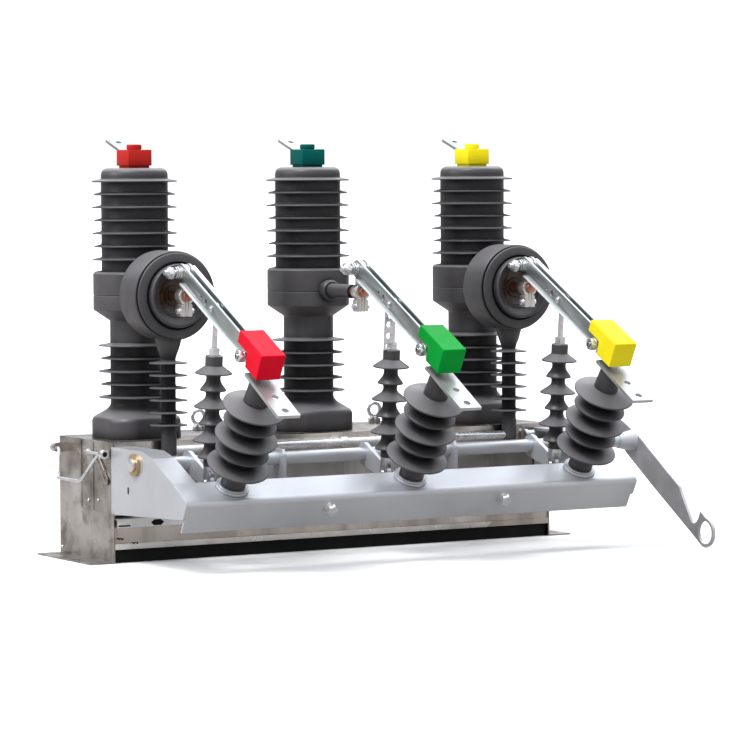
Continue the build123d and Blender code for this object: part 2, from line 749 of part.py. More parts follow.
# Drive insulators with their forks below and their links above
drive_direction = Vector(0, *DRIVE_LEAN).normalized()
drive_normal = Vector(1, 0, 0).cross(drive_direction)
for name, x in PHASES.items():
    origin = Vector(x, *CRANK_PIN)
    front = Plane(origin=origin, x_dir=(1, 0, 0), z_dir=drive_normal)
    beside = Plane(origin=origin, x_dir=-drive_normal, z_dir=(1, 0, 0))
    link_length = Vector(0, *DRIVE_LEAN).length
    with BuildPart() as drive_insulator:
        with BuildSketch(front):
            with BuildLine():
                Polyline(
                    (0, DRIVE_BOTTOM),
                    (0, DRIVE_TOP),
                    (DRIVE_CAP[0] - 2, DRIVE_TOP),
                    (DRIVE_CAP[0], DRIVE_TOP - 2),
                    DRIVE_CAP,
                    *shed_profile(DRIVE_BODY_RADIUS, DRIVE_SHEDS)[1:],
                    (DRIVE_BODY_RADIUS, DRIVE_BOTTOM),
                    close=True,
                )
            make_face()
        revolve(axis=Axis(origin, drive_direction))
    save(drive_insulator.part, f"drive_insulator_{name}")
    with BuildPart() as drive_fitting:
        with BuildSketch(front):
            with Locations((0, DRIVE_BOTTOM - 4)):
                Rectangle(22, 8)
            for cheek in (1, -1):
                with Locations((cheek * 8, DRIVE_BOTTOM / 2 - 6)):
                    Rectangle(6, DRIVE_BOTTOM + 12)
        extrude(amount=7, both=True)
        with BuildSketch(beside.offset(-14)):
            Circle(DRIVE_PIN_OF_CRANK)
        extrude(amount=28)
        nut_radius, nut_height = DRIVE_NUT
        with BuildSketch(Plane(origin + drive_direction * DRIVE_TOP, (1, 0, 0), drive_direction)):
            RegularPolygon(nut_radius, 6)
        extrude(amount=nut_height)
        with BuildSketch(beside):
            with Locations((0, (DRIVE_TOP + nut_height + link_length) / 2)):
                Rectangle(LINK_WIDTH, link_length - DRIVE_TOP - nut_height)
            with Locations((0, link_length)):
                Circle(LINK_EYE_RADIUS)
                Circle(LINK_EYE_HOLE, mode=Mode.SUBTRACT)
        extrude(amount=LINK_THICKNESS / 2, both=True)
        if name == "middle":
            with BuildSketch(front.offset(LINK_WIDTH / 2)):
                with BuildLine():
                    Polyline(
                        (STRIP_LEFT, DRIVE_TOP),
                        (STRIP_LEFT, link_length - 13),
                        (STRIP_LEFT + 5, link_length - 19),
                        (STRIP_LEFT + 8, link_length - 26),
                        (LINK_THICKNESS / 2, link_length - 30),
                        (LINK_THICKNESS / 2, DRIVE_TOP),
                        close=True,
                    )
                make_face()
                with Locations(*(((STRIP_LEFT - LINK_THICKNESS / 2) / 2, at) for at in STRIP_HOLES)):
                    Circle(5.5, mode=Mode.SUBTRACT)
            extrude(amount=-STRIP_THICKNESS)
    save(drive_fitting.part, f"drive_fitting_{name}")

# Wiring conduit between the legs of the two current transformers
with BuildPart() as conduit:
    with BuildSketch(across(PHASES["left"])):
        with Locations((CT_LEG_Y, CONDUIT_HEIGHT)):
            Circle(CONDUIT_RADIUS)
    extrude(amount=2 * PHASE_SPACING)
    with Locations(*((x, CT_LEG_Y, CONDUIT_HEIGHT) for x in (PHASES["left"], PHASES["right"]))):
        Cylinder(CT_LEG_RADIUS, 60, mode=Mode.SUBTRACT)
    for x in (-250, 0, 250):
        with BuildSketch(across(x)):
            with Locations((CT_LEG_Y, CONDUIT_HEIGHT)):
                Circle(CONDUIT_RADIUS + 2.5)
            with Locations(((CT_LEG_Y - BOX_HALF_DEPTH) / 2, CONDUIT_HEIGHT)):
                Rectangle(-CT_LEG_Y - BOX_HALF_DEPTH, 10)
        extrude(amount=7, both=True)
save(conduit.part, "wiring_conduit")

# Round coupling on the front of the box near its right end
with BuildPart() as socket:
    with BuildSketch(across(SOCKET_LEFT)):
        with Locations(SOCKET_AT):
            Circle(SOCKET_RADIUS)
    extrude(amount=6)
    with BuildSketch(across(SOCKET_LEFT + 6)):
        with Locations(SOCKET_AT):
            Circle(SOCKET_RADIUS - 2)
    extrude(amount=SOCKET_RIGHT - SOCKET_LEFT - 6)
save(socket.part, "control_socket")

# Lifting eyes on the back of the lid
with BuildPart() as lifting_eyes:
    for side in (-1, 1):
        with BuildSketch(Plane(origin=(side * EYE_AT[0], EYE_AT[1], BOX_TOP))):
            RegularPolygon(11, 6)
        extrude(amount=12)
        with BuildSketch(upright(side * EYE_AT[0], EYE_AT[1])):
            with Locations((0, BOX_TOP + 12 + EYE_RADIUS - 3)):
                Circle(EYE_RADIUS)
                Circle(EYE_HOLE, mode=Mode.SUBTRACT)
        extrude(amount=4, both=True)
save(lifting_eyes.part, "lifting_eyes")

# Carrying bail hinged on two lugs of the left end plate
bail_x, bail_z = BAIL_PIVOT
with BuildPart() as bail:
    with BuildLine() as bail_path:
        FilletPolyline(
            (bail_x, 104, bail_z),
            (bail_x, 84, bail_z),
            (bail_x - 24, 40, bail_z - 54),
            (bail_x - 24, -60, bail_z - 54),
            (bail_x, -92, bail_z),
            (bail_x, -116, bail_z),
            radius=7,
        )
    with BuildSketch(Plane(origin=(bail_x, 104, bail_z), z_dir=(0, -1, 0))):
        Circle(BAIL_WIRE)
    sweep()
save(bail.part, "carrying_bail")

with BuildPart() as bail_lugs:
    for y in (98, -106):
        with BuildSketch(Plane(origin=(0, y, 0), x_dir=(1, 0, 0), z_dir=(0, -1, 0))):
            with Locations((bail_x, bail_z)):
                Circle(9)
            with Locations(((bail_x - BOX_HALF_LENGTH) / 2, bail_z)):
                Rectangle(-bail_x - BOX_HALF_LENGTH, 18)
            with Locations((bail_x, bail_z)):
                Circle(BAIL_WIRE + RUNNING_GAP, mode=Mode.SUBTRACT)
        extrude(amount=8)
save(bail_lugs.part, "bail_lugs")
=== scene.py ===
"""Looks of the pole-mounted vacuum breaker with its three-phase disconnector.

Sizes are in millimetres in the part's frame (X along the box, -Y the blade side, +Z up) and become
metres when a mesh is made. Shapes are profiles turned about an axis, sections carried along a path and
flat plates with holes.
"""

import math

import bmesh
import bpy
import numpy as np
from mathutils import Matrix, Vector


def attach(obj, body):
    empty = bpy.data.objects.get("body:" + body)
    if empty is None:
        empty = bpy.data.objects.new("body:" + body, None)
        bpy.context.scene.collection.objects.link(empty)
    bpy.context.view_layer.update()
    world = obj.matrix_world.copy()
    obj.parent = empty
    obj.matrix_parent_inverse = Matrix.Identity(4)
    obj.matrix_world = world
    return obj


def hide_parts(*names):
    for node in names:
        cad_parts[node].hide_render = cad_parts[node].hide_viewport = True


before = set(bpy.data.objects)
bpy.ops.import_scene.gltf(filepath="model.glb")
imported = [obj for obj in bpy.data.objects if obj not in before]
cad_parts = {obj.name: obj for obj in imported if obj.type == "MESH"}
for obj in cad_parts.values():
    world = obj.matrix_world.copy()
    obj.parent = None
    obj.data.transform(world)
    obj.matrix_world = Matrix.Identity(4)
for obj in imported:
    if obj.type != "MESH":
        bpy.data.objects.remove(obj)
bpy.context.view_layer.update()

MM = 0.001
PHASES = {"left": -380.0, "middle": 0.0, "right": 380.0}
X_AXIS, Y_AXIS, Z_AXIS = np.eye(3)
SMOOTH_BELOW = math.radians(38)
SAME_POINT = 0.002


# Shapes: an outline is an array of points in mm, and a shape is a pair of (points in mm, faces)


def unit(vector):
    """The vector divided by its length."""
    vector = np.asarray(vector, float)
    return vector / np.linalg.norm(vector)


def rounded(points, radius, steps=5, closed=False):
    """Corners eased: each becomes (1-t)^2 A + 2t(1-t) corner + t^2 B.

    A and B lie one radius away on the corner's sides. An open outline takes two radii fewer than it has
    points, or one radius for all.
    """
    p = np.asarray(points, float)
    if closed:
        p = np.vstack([p[-1:], p, p[:1]])
    reach = np.broadcast_to(np.asarray(radius, float), (len(p) - 2,))
    side = np.diff(p, axis=0)
    length = np.linalg.norm(side, axis=1)
    along = side / length[:, None]
    cut = np.minimum(reach, 0.46 * np.minimum(length[:-1], length[1:]))[:, None]
    corner = p[1:-1, None]
    a, b = (p[1:-1] - along[:-1] * cut)[:, None], (p[1:-1] + along[1:] * cut)[:, None]
    t = np.linspace(0, 1, steps)[None, :, None]
    eased = ((1 - t) ** 2 * a + 2 * t * (1 - t) * corner + t**2 * b).reshape(-1, p.shape[1])
    return eased if closed else np.vstack([p[:1], eased, p[-1:]])


def grid(points, ring=True, loop=False):
    """Quads over points[row, column]; ring joins the last column to the first, loop the last row."""
    rows, columns = points.shape[:2]
    index = np.arange(rows * columns).reshape(rows, columns)
    if ring:
        index = np.hstack([index, index[:, :1]])
    if loop:
        index = np.vstack([index, index[:1]])
    quads = np.stack([index[:-1, :-1], index[:-1, 1:], index[1:, 1:], index[1:, :-1]], -1)
    return points.reshape(-1, 3), quads.reshape(-1, 4).tolist()


def square_frame(axis, hint=None):
    """Two unit vectors square to an axis, the first as near to the hint as they can be."""
    axis = unit(axis)
    hint = X_AXIS if hint is None else np.asarray(hint, float)
    if abs(axis @ unit(hint)) > 0.95:
        hint = Z_AXIS
    first = unit(hint - axis * (axis @ hint))
    return first, np.cross(axis, first)


def turned(profile, origin, axis, segments=72, loop=False):
    """Surface of revolution: origin + h axis + r (cos a e1 + sin a e2) for each (r, h) of the profile."""
    profile = np.asarray(profile, float)
    e1, e2 = square_frame(axis)
    a = np.linspace(0, 2 * np.pi, segments, endpoint=False)[None, :, None]
    r, h = profile[:, 0, None, None], profile[:, 1, None, None]
    return grid(np.asarray(origin) + h * unit(axis) + r * (np.cos(a) * e1 + np.sin(a) * e2), loop=loop)


def tube(path, radius, segments=14):
    """Round bar: path point + r (cos a n + sin a b), n and b square to the path's tangent."""
    path = np.asarray(path, float)
    tangent = np.gradient(path, axis=0)
    tangent /= np.linalg.norm(tangent, axis=1)[:, None]
    spread = tangent.max(0) - tangent.min(0) + np.abs(tangent).max(0)
    hint = np.eye(3)[np.argmin(spread)]
    n = hint - tangent * (tangent @ hint)[:, None]
    n /= np.linalg.norm(n, axis=1)[:, None]
    b = np.cross(tangent, n)
    a = np.linspace(0, 2 * np.pi, segments, endpoint=False)[None, :, None]
    points = path[:, None] + radius * (np.cos(a) * n[:, None] + np.sin(a) * b[:, None])
    ends = [np.repeat(path[k : k + 1, None], segments, 1) for k in (0, -1)]
    return grid(np.concatenate([ends[0], points, ends[1]]))


def torus(centre, axis, ring, wire, segments=40):
    """Ring of round wire: a circle of the wire's radius turned about the ring's axis."""
    section = circle((ring, 0), wire, 16)
    return turned(section, centre, axis, segments, loop=True)


def coil(start, axis, radius, wire, turns, length):
    """Spring: a helix, start + t length axis + r (cos 2 pi n t e1 + sin 2 pi n t e2), as a tube."""
    e1, e2 = square_frame(axis)
    t = np.linspace(0, 1, int(20 * turns))[:, None]
    a = 2 * np.pi * turns * t
    path = np.asarray(start) + t * length * unit(axis) + radius * (np.cos(a) * e1 + np.sin(a) * e2)
    return tube(path, wire, 8)


def disc(centre, axis, outer, inner, thick, ease=0.5, segments=36):
    """Washer: an eased rectangular section turned about the axis; inner 0 makes a plain disc."""
    section = [(inner, 0), (outer, 0), (outer, thick), (inner, thick)]
    if inner <= 0:
        return turned(rounded(section, ease), centre, axis, segments)
    return turned(rounded(section, ease, closed=True), centre, axis, segments, loop=True)


def hexagon(centre, axis, across, height, turn):
    """Hex head or nut: radius half-across / cos(a mod 60 - 30 degrees), its top cut back to a circle."""
    e1, e2 = square_frame(axis)
    a = np.arange(48) * 2 * np.pi / 48
    flat = 0.5 * across / np.cos((a % (np.pi / 3)) - np.pi / 6)
    round_top = np.minimum(flat, 0.5 * across * 0.985)
    radii = np.stack([0 * a, round_top, flat, flat, round_top, 0 * a])
    bevel = 0.06 * across
    heights = np.array([0, 0, bevel * 0.6, height - bevel, height, height])
    a = a + turn
    ring = np.cos(a)[:, None] * e1 + np.sin(a)[:, None] * e2
    points = np.asarray(centre) + heights[:, None, None] * unit(axis) + radii[:, :, None] * ring[None]
    return grid(points)


def bolt(centre, axis, size):
    """Hex bolt on a face: washer, spring washer and head for a thread size."""
    centre, axis = np.asarray(centre, float), unit(axis)
    washer, spring = size * 0.18, size * 0.2
    return [
        disc(centre, axis, size * 1.05, size * 0.4, washer, 0.3),
        disc(centre + axis * washer, axis, size * 0.82, size * 0.4, spring, 0.3),
        hexagon(centre + axis * (washer + spring), axis, size * 1.62, size * 0.7, 0.3),
    ]


def prism(section, start, end, at=None, u=Y_AXIS, v=Z_AXIS, n=X_AXIS):
    """A closed section in (u, v) carried from start to end along n, with flat ends."""
    section = np.asarray(section, float)
    base = np.zeros(3) if at is None else np.asarray(at, float)
    flat = base + section[:, :1] * u + section[:, 1:] * v
    points = np.concatenate([flat + start * n, flat + end * n])
    count = len(section)
    k = np.arange(count)
    sides = np.stack([k, np.roll(k, -1), np.roll(k, -1) + count, k + count], 1).tolist()
    return points, sides + [k[::-1].tolist(), (k + count).tolist()]


def circle(centre, radius, count=28):
    """Points round a circle in a flat outline."""
    a = np.linspace(0, 2 * np.pi, count, endpoint=False)
    return np.stack([centre[0] + radius * np.cos(a), centre[1] + radius * np.sin(a)], 1)


def slot_hole(length, width):
    """Round-ended slot about the origin, along the outline's first direction."""
    a = np.linspace(-np.pi / 2, np.pi / 2, 12)
    right = np.stack([(length - width) / 2 + width / 2 * np.cos(a), width / 2 * np.sin(a)], 1)
    return np.vstack([right, -right])


def rectangle(left, right, low, high):
    """Four corners of an upright rectangle in a flat outline."""
    return [(left, low), (right, low), (right, high), (left, high)]


def plate(outline, holes, thick, origin, u, v, ease):
    """Flat plate with holes: a filled flat curve, eased at its edges, then set on u, v and u x v."""
    curve = bpy.data.curves.new("outline", "CURVE")
    curve.dimensions = "2D"
    curve.fill_mode = "BOTH"
    curve.extrude = (thick / 2 - ease) * MM
    curve.bevel_depth = ease * MM
    curve.bevel_resolution = 1
    curve.offset = -ease * MM
    for loop in [outline, *holes]:
        spline = curve.splines.new("POLY")
        spline.points.add(len(loop) - 1)
        flat = np.column_stack([np.asarray(loop) * MM, np.zeros(len(loop)), np.ones(len(loop))])
        spline.points.foreach_set("co", flat.ravel())
        spline.use_cyclic_u = True
    holder = bpy.data.objects.new("outline", curve)
    bpy.context.scene.collection.objects.link(holder)
    bpy.context.view_layer.update()
    mesh = bpy.data.meshes.new_from_object(holder.evaluated_get(bpy.context.evaluated_depsgraph_get()))
    points = np.empty(len(mesh.vertices) * 3)
    mesh.vertices.foreach_get("co", points)
    x, y, z = (points.reshape(-1, 3) / MM).T[:, :, None]
    faces = [list(face.vertices) for face in mesh.polygons]
    bpy.data.objects.remove(holder)
    bpy.data.curves.remove(curve)
    bpy.data.meshes.remove(mesh)
    u, v = unit(u), unit(v)
    return np.asarray(origin) + x * u + y * v + z * np.cross(u, v), faces


def link(name, data):
    """An object for a mesh, a light or a camera, put in the scene."""
    obj = bpy.data.objects.new(name, data)
    bpy.context.scene.collection.objects.link(obj)
    return obj


def piece(name, body, material, shapes, replaces=(), bevel=0.0):
    """One object from several shapes: joined, doubles merged, faces turned outwards, riding on its body."""
    if isinstance(shapes, tuple):
        shapes = [shapes]
    counts = np.cumsum([0] + [len(p) for p, _ in shapes])
    points = np.concatenate([p for p, _ in shapes]) * MM
    faces = [[i + start for i in face] for start, (_, part) in zip(counts, shapes) for face in part]
    mesh = bpy.data.meshes.new(name)
    mesh.from_pydata(points.tolist(), [], faces)
    work = bmesh.new()
    work.from_mesh(mesh)
    bmesh.ops.remove_doubles(work, verts=work.verts, dist=SAME_POINT * MM)
    bmesh.ops.recalc_face_normals(work, faces=work.faces)
    work.to_mesh(mesh)
    work.free()
    mesh.shade_smooth()
    mesh.set_sharp_from_angle(angle=SMOOTH_BELOW)
    mesh.materials.append(material)
    obj = link(name, mesh)
    if bevel:
        edge = obj.modifiers.new("edge", "BEVEL")
        edge.width = bevel * MM
        edge.segments = 2
        edge.limit_method = "ANGLE"
        edge.angle_limit = SMOOTH_BELOW
    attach(obj, body)
    if replaces:
        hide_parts(*replaces)


# Finishes


COLOUR_A, COLOUR_B, COLOUR_OUT = 6, 7, 2
GRAIN_DEPTH, WAVE_DEPTH = 0.0004, 0.004
# tone of the painted shade laid into hollows and crevices
PAINTED_SHADE_TONE = (0.004, 0.004, 0.005)


def finish(name, dark, light, patch, rough, metal=0.0, grain=(0.1, 900.0), stretch=(1, 1, 1),
           soften=0.0, grime=None, wave=None, spec=0.5, crevice_shade=0.0, dust_and_top_light=None):
    """A surface finish: patches between two tones, uneven roughness and a fine grain (strength, scale).

    grime is (amount, tone, scale), wave is (strength, scale), soften eases edges by that many millimetres,
    crevice_shade is painted shade that darkens what is shut in within that distance and dims its sheen, and
    dust_and_top_light is the tone of what faces up: dust together with painted light from above.
    """
    material = bpy.data.materials.new(name)
    material.use_nodes = True
    tree = material.node_tree
    nodes, links = tree.nodes, tree.links
    shader = nodes["Principled BSDF"]
    shader.inputs["Metallic"].default_value = metal
    shader.inputs["Specular IOR Level"].default_value = spec
    place = nodes.new("ShaderNodeTexCoord")
    turn = nodes.new("ShaderNodeMapping")
    turn.inputs["Scale"].default_value = stretch
    links.new(place.outputs["Object"], turn.inputs["Vector"])

    def noise(scale, detail=4.0, vector=turn.outputs["Vector"]):
        node = nodes.new("ShaderNodeTexNoise")
        node.inputs["Scale"].default_value = scale
        node.inputs["Detail"].default_value = detail
        links.new(vector, node.inputs["Vector"])
        return node.outputs["Fac"]

    def spread(value, low, high, start=0.3, end=0.7):
        node = nodes.new("ShaderNodeMapRange")
        for key, number in (("From Min", start), ("From Max", end), ("To Min", low), ("To Max", high)):
            node.inputs[key].default_value = number
        links.new(value, node.inputs["Value"])
        return node.outputs["Result"]

    def mix(factor, first, second):
        node = nodes.new("ShaderNodeMix")
        node.data_type = "RGBA"
        links.new(factor, node.inputs["Factor"])
        for socket, colour in ((node.inputs[COLOUR_A], first), (node.inputs[COLOUR_B], second)):
            if isinstance(colour, tuple):
                socket.default_value = (*colour, 1.0)
            else:
                links.new(colour, socket)
        return node.outputs[COLOUR_OUT]

    tone = mix(spread(noise(patch), 0.0, 1.0), dark, light)
    if grime:
        amount, shade, scale = grime
        tone = mix(spread(noise(scale, 8.0), 0.0, amount, 0.48, 0.72), tone, shade)
    # what faces up turns lighter: dust, and painted light from above
    if dust_and_top_light:
        facing = nodes.new("ShaderNodeNewGeometry")
        up = nodes.new("ShaderNodeSeparateXYZ")
        links.new(facing.outputs["Normal"], up.inputs["Vector"])
        tone = mix(spread(up.outputs["Z"], 0.0, 1.0, 0.35, 0.98), tone, dust_and_top_light)
    if crevice_shade:  # painted shade: the share of open sky round a point, from shut in to free, darkens the tone and dims the sheen
        open_sky = nodes.new("ShaderNodeAmbientOcclusion")
        open_sky.samples = 6
        open_sky.inputs["Distance"].default_value = crevice_shade * MM
        tone = mix(spread(open_sky.outputs["AO"], 1.0, 0.0, 0.38, 0.88), tone, PAINTED_SHADE_TONE)
        shade_dimmed_gloss = spread(open_sky.outputs["AO"], 0.02, spec, 0.4, 0.9)
        links.new(shade_dimmed_gloss, shader.inputs["Specular IOR Level"])
    links.new(tone, shader.inputs["Base Color"])
    links.new(spread(noise(patch * 2.3), *rough), shader.inputs["Roughness"])
    bump = nodes.new("ShaderNodeBump")
    bump.inputs["Strength"].default_value = grain[0]
    bump.inputs["Distance"].default_value = GRAIN_DEPTH
    links.new(noise(grain[1], 2.0), bump.inputs["Height"])
    first = bump
    if wave:
        swell = nodes.new("ShaderNodeBump")
        swell.inputs["Strength"].default_value = wave[0]
        swell.inputs["Distance"].default_value = WAVE_DEPTH
        links.new(noise(wave[1], 1.0, place.outputs["Object"]), swell.inputs["Height"])
        links.new(swell.outputs["Normal"], bump.inputs["Normal"])
        first = swell
    if soften:
        ease = nodes.new("ShaderNodeBevel")
        ease.samples = 4
        ease.inputs["Radius"].default_value = soften * MM
        links.new(ease.outputs["Normal"], first.inputs["Normal"])
    links.new(bump.outputs["Normal"], shader.inputs["Normal"])
    return material


# crevice_shade below paints shade between the sheds and in the drums' hollows
SILICONE = finish("grey_silicone", (0.037, 0.035, 0.038), (0.058, 0.054, 0.058), 9, (0.34, 0.48),
                  grain=(0.25, 700), grime=(0.25, (0.10, 0.098, 0.098), 14), crevice_shade=34.0,
                  dust_and_top_light=(0.175, 0.168, 0.175))
EPOXY = finish("grey_epoxy", (0.042, 0.040, 0.043), (0.066, 0.062, 0.066), 14, (0.34, 0.5), grain=(0.3, 500),
               grime=(0.3, (0.10, 0.095, 0.094), 10), spec=0.45, crevice_shade=30.0, dust_and_top_light=(0.165, 0.158, 0.163))
# near-black for sheets that stand in for shade in gaps and under the box: painted shade
SHADE_BLACK = finish("painted_shade_black", (0.006, 0.006, 0.006), (0.012, 0.012, 0.012), 20, (0.5, 0.7), spec=0.2)
SILVER = finish("silver_paint", (0.52, 0.54, 0.575), (0.59, 0.61, 0.645), 6, (0.30, 0.42), metal=0.55,
                grain=(0.2, 1300), soften=1.0, grime=(0.25, (0.36, 0.36, 0.35), 9))
STEEL = finish("stainless_sheet", (0.48, 0.43, 0.385), (0.72, 0.67, 0.62), 5, (0.16, 0.34), metal=1.0,
               grain=(0.12, 260), stretch=(1, 1, 0.12), soften=0.6, grime=(0.6, (0.15, 0.12, 0.10), 16),
               wave=(0.35, 6))
END_STEEL = finish("stained_stainless", (0.30, 0.27, 0.245), (0.66, 0.63, 0.60), 8, (0.2, 0.4), metal=1.0,
                   grain=(0.3, 160), soften=0.6, grime=(0.8, (0.12, 0.095, 0.08), 26), wave=(0.4, 9))
ZINC = finish("zinc_plate", (0.60, 0.60, 0.61), (0.82, 0.82, 0.84), 60, (0.22, 0.4), metal=0.95,
              grain=(0.2, 600), soften=0.5)
LEVER = finish("galvanised_lever", (0.41, 0.41, 0.42), (0.56, 0.56, 0.58), 22, (0.38, 0.55), metal=0.6,
               grain=(0.3, 420), soften=0.8)
TINNED = finish("tinned_copper", (0.33, 0.36, 0.355), (0.46, 0.49, 0.49), 10, (0.28, 0.4), metal=0.9,
                grain=(0.03, 380), soften=0.5, grime=(0.25, (0.28, 0.31, 0.305), 7))
TERMINAL = finish("tinned_terminal", (0.38, 0.395, 0.395), (0.51, 0.52, 0.52), 12, (0.34, 0.46), metal=0.8,
                  grain=(0.06, 380), soften=0.5, grime=(0.35, (0.32, 0.27, 0.26), 14))
# light warm metal for the rail's front strip: painted highlight, with stains from the grime
RAIL_HIGHLIGHT = finish("rail_painted_highlight", (0.80, 0.77, 0.73), (0.92, 0.90, 0.87), 12, (0.24, 0.36), metal=0.4,
              grain=(0.1, 300), grime=(0.4, (0.40, 0.33, 0.28), 22))
# near-white metal for strips that stand in for glints on edges: painted highlight
HIGHLIGHT_EDGE = finish("painted_highlight_edge", (0.80, 0.82, 0.82), (0.92, 0.93, 0.93), 30, (0.3, 0.45), metal=0.5,
              grain=(0.05, 400))
CLAMP = finish("clamp_metal", (0.66, 0.62, 0.59), (0.82, 0.79, 0.77), 30, (0.25, 0.4), metal=0.85,
               grain=(0.2, 400), soften=0.5)
COPPER = finish("bare_copper", (0.42, 0.17, 0.11), (0.66, 0.32, 0.23), 40, (0.25, 0.45), metal=0.9,
                grain=(0.2, 500), grime=(0.6, (0.16, 0.06, 0.04), 60))
MOUTH = finish("brown_resin", (0.018, 0.009, 0.006), (0.055, 0.028, 0.014), 30, (0.2, 0.4), grain=(0.2, 400),
               grime=(0.6, (0.15, 0.08, 0.04), 40))
BRASS = finish("brass_bush", (0.42, 0.29, 0.15), (0.60, 0.45, 0.27), 40, (0.25, 0.4), metal=0.9,
               grain=(0.1, 500), soften=0.5)


def plastic(name, dark, light):
    """Soft moulded cover: an even colour, faint mottling and a satin skin."""
    return finish(name, dark, light, 12, (0.30, 0.42), grain=(0.12, 420), soften=0.8, spec=0.06)


TOP_COVERS = {
    "left": plastic("red_cap", (0.40, 0.016, 0.012), (0.48, 0.026, 0.020)),
    "middle": plastic("green_cap", (0.0, 0.080, 0.072), (0.001, 0.105, 0.094)),
    "right": plastic("yellow_cap", (0.78, 0.64, 0.008), (0.86, 0.74, 0.016)),
}
TIP_COVERS = {
    "left": plastic("red_cover", (0.60, 0.001, 0.012), (0.70, 0.004, 0.024)),
    "middle": plastic("green_cover", (0.0, 0.24, 0.022), (0.0, 0.29, 0.034)),
    "right": plastic("yellow_cover", (0.80, 0.66, 0.010), (0.88, 0.76, 0.020)),
}

# Nodes of the part that keep their own shape and only take a finish
CARRIED = {
    "box_body": STEEL, "box_lid": STEEL, "end_plate_left": END_STEEL, "end_plate_right": END_STEEL,
    "bail_lugs": STEEL, "control_socket": ZINC, "wiring_conduit": ZINC, "frame_beam": SILVER,
    "frame_arm_left": SILVER, "frame_arm_right": SILVER, "shaft_brackets": SILVER, "shaft_tube": SILVER,
    "shaft_cranks": SILVER, "shaft_bushes": BRASS, "operating_lever": LEVER, "upper_terminals": TINNED,
    "outlet_arm_middle": EPOXY,
}
for phase in PHASES:
    CARRIED[f"blade_cover_{phase}"] = TIP_COVERS[phase]
    CARRIED[f"lower_terminal_{phase}"] = TERMINAL
    CARRIED[f"drive_fitting_{phase}"] = ZINC
for node, material in CARRIED.items():
    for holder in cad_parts[node].material_slots:
        holder.material = material


# Insulators


def sheds(body, count, top, pitch, big, small, root, under, lip=1.15):
    """Shed outline from the top down: slope out to a thin lip, back under it to the body; radii alternate."""
    k = np.arange(count)
    tip = np.where(k % 2, small, big)[:, None]
    height = (top - k * pitch)[:, None]
    radius = np.hstack([np.full((count, 1), body), tip, tip, np.full((count, 1), body)])
    level = height + np.array([[root, lip, -lip, -under]])
    return np.stack([radius, level], -1).reshape(-1, 2)


def shed_easing(count, root, lip=0.7):
    """Corner radii that go with sheds()."""
    return np.tile([root, lip, lip, root * 0.7], count)


def pole_points(x):
    """Base and body in one skin: a weight carries each row's radius from a circle's to a rounded square's."""
    lower = sheds(49.0, 5, 405.6, 24.8, 71.0, 67.0, 4.5, 1.6)
    upper = sheds(64.0, 7, 719.7, 24.9, 81.3, 77.5, 4.5, 1.6)
    rows = np.vstack([
        [(0, 745.0), (53.0, 745.0), (61.5, 741.0), (64.0, 733.0)], upper,
        [(64.0, 549.5), (67.5, 548.6), (76.5, 547.4), (80.5, 543.4), (80.5, 503.5), (79.7, 503.0),
         (79.7, 501.6), (80.5, 501.0), (80.5, 474.6), (79.4, 473.4), (49.0, 453.0)], lower,
        [(49.0, 291.0), (56.0, 283.5)],
    ])
    easing = np.concatenate([
        [3, 5, 3], shed_easing(7, 1.8), [1.2, 0.8, 0.8, 0.8, 0.2, 0.2, 0.2, 0.2, 0.5, 0.5, 2.5],
        shed_easing(5, 1.8), [8],
    ])
    round_part = rounded(rows, easing, 4)
    round_part = np.column_stack([round_part, np.zeros(len(round_part))])
    square_part = rounded([(56.0, 283.5, 0.0), (73.5, 268.5, 0.85), (75.0, 262.0, 1.0), (75.0, 229.0, 1.0),
                           (0.0, 229.0, 1.0)], [6, 3, 1.0], 5)
    rows = np.vstack([round_part, square_part[1:]])
    a = np.linspace(0, 2 * np.pi, 96, endpoint=False)
    c, s = np.abs(np.cos(a)), np.abs(np.sin(a))
    corner = 0.6
    inner = 1 - corner
    flat = 1 / np.maximum(c, s)
    b = inner * (c + s)
    arc = b + np.sqrt(np.maximum(b**2 - (2 * inner**2 - corner**2), 0))
    square = np.where(flat * np.minimum(c, s) <= inner, flat, arc)
    radius = rows[:, :1] * (1 + rows[:, 2:] * (square[None] - 1))
    points = np.stack([x + radius * np.cos(a), radius * np.sin(a), np.repeat(rows[:, 1:2], len(a), 1)], -1)
    return grid(points)


for phase, x in PHASES.items():
    piece(f"pole_skin_{phase}", "frame", SILICONE, pole_points(x), [f"pole_{phase}"])


def square_column(x, rows):
    """Rounded square column about an upright line: each row is (half side, corner radius, height)."""
    turn = np.linspace(0, np.pi / 2, 7)
    rings = []
    for half, corner, height in rows:
        arc = half - corner + corner * np.stack([np.cos(turn), np.sin(turn)], 1)
        quarter = np.stack([-arc[:, 1], arc[:, 0]], 1)
        loop = np.vstack([arc, quarter, -arc, -quarter])
        rings.append(np.column_stack([loop + (x, 0), np.full(len(loop), height)]))
    return grid(np.stack(rings))


COVER_ROWS = [(0, 0, 744.5), (22, 2, 744.5), (22, 2, 749.5), (25.2, 2.2, 749.8), (25.5, 2.4, 750.4),
              (25.5, 2.4, 778.6), (24.9, 2.2, 779.7), (24.1, 1.8, 780), (0, 0, 780)]
COVER_CAP = rounded(
    [(0, 778), (13.4, 778), (13.4, 781), (14.5, 781.4), (14.5, 788.4), (13.2, 790), (0, 790)],
    [0.3, 0.3, 0.5, 1.2, 1], 4)
for phase, x in PHASES.items():
    shell = square_column(x, COVER_ROWS)
    cap = turned(COVER_CAP, (x, 0, 0), Z_AXIS, 56)
    piece(f"cover_skin_{phase}", "frame", TOP_COVERS[phase], [shell, cap], [f"terminal_cover_{phase}"])

